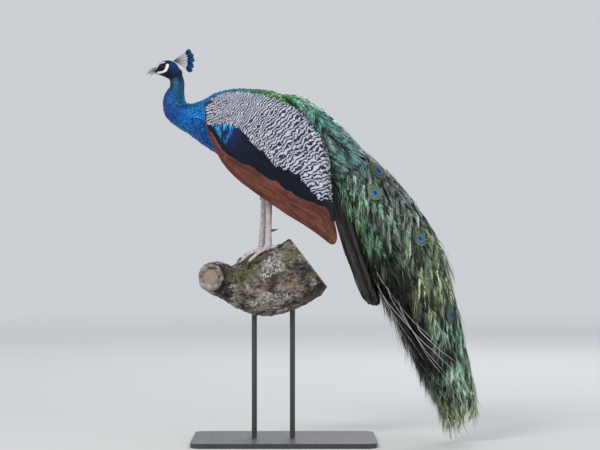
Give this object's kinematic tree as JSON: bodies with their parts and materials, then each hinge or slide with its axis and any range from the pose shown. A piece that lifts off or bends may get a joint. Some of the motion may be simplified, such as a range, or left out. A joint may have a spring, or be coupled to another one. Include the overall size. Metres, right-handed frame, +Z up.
{
  "type": "peacock display model",
  "caption": "Life-size male peafowl standing on a short cut length of limb, train hanging closed behind it, held over a flat base by two rods.",
  "frame": {"origin": "centre of the stand base's underside, on the floor", "axes": "+Z up, the bird faces -X and its left side is towards -Y; y = 0 is its middle plane"},
  "size_m": [0.8677, 0.34, 1.0366],
  "materials": {
    "plumage_blue": "iridescent cobalt and teal feathers of head, neck and breast",
    "plumage_back": "bronze-green scaly feathers of back, flanks and belly",
    "plumage_thigh": "buff thigh feathers",
    "wing_barred": "pale grey feathers with wavy black bars",
    "wing_dark": "blue-black feathers with a blue and teal gloss",
    "wing_rufous": "rufous flight feathers with paler edges",
    "train": "loose green and bronze barbs with pale shafts and eye spots",
    "tail": "stiff dark brown feathers",
    "crest": "bare dark shafts with blue tips",
    "eye": "wet dark brown eye",
    "bill": "grey horn",
    "claw": "dark horn of claws and spurs",
    "leg": "grey-pink scaled skin",
    "bark": "rough brown bark with moss and pale lichen",
    "stand": "satin black"
  },
  "bodies": {
    "root": {"bill_lower": "bill", "bill_upper": "bill", "breast": "plumage_blue", "claw_hind_left": "claw", "claw_hind_right": "claw", "claw_inner_left": "claw", "claw_inner_right": "claw", "claw_middle_left": "claw", "claw_middle_right": "claw", "claw_outer_left": "claw", "claw_outer_right": "claw", "crest": "crest", "eye_left": "eye", "eye_right": "eye", "foot_left": "leg", "foot_right": "leg", "head": "plumage_blue", "neck_lower": "plumage_blue", "neck_upper": "plumage_blue", "perch": "bark", "rump": "plumage_back", "shank_left": "leg", "shank_right": "leg", "spur_left": "claw", "spur_right": "claw", "stand_base": "stand", "stand_rod_1": "stand", "stand_rod_2": "stand", "tail": "tail", "thigh_left": "plumage_thigh", "thigh_right": "plumage_thigh", "train_lower": "train", "train_root": "train", "train_tip": "train", "train_upper": "train", "trunk_front": "plumage_back", "trunk_rear": "plumage_back", "wing_coverts_left": "wing_barred", "wing_coverts_right": "wing_barred", "wing_primaries_left": "wing_rufous", "wing_primaries_right": "wing_rufous", "wing_secondaries_left": "wing_dark", "wing_secondaries_right": "wing_dark"}
  },
  "joints": []
}
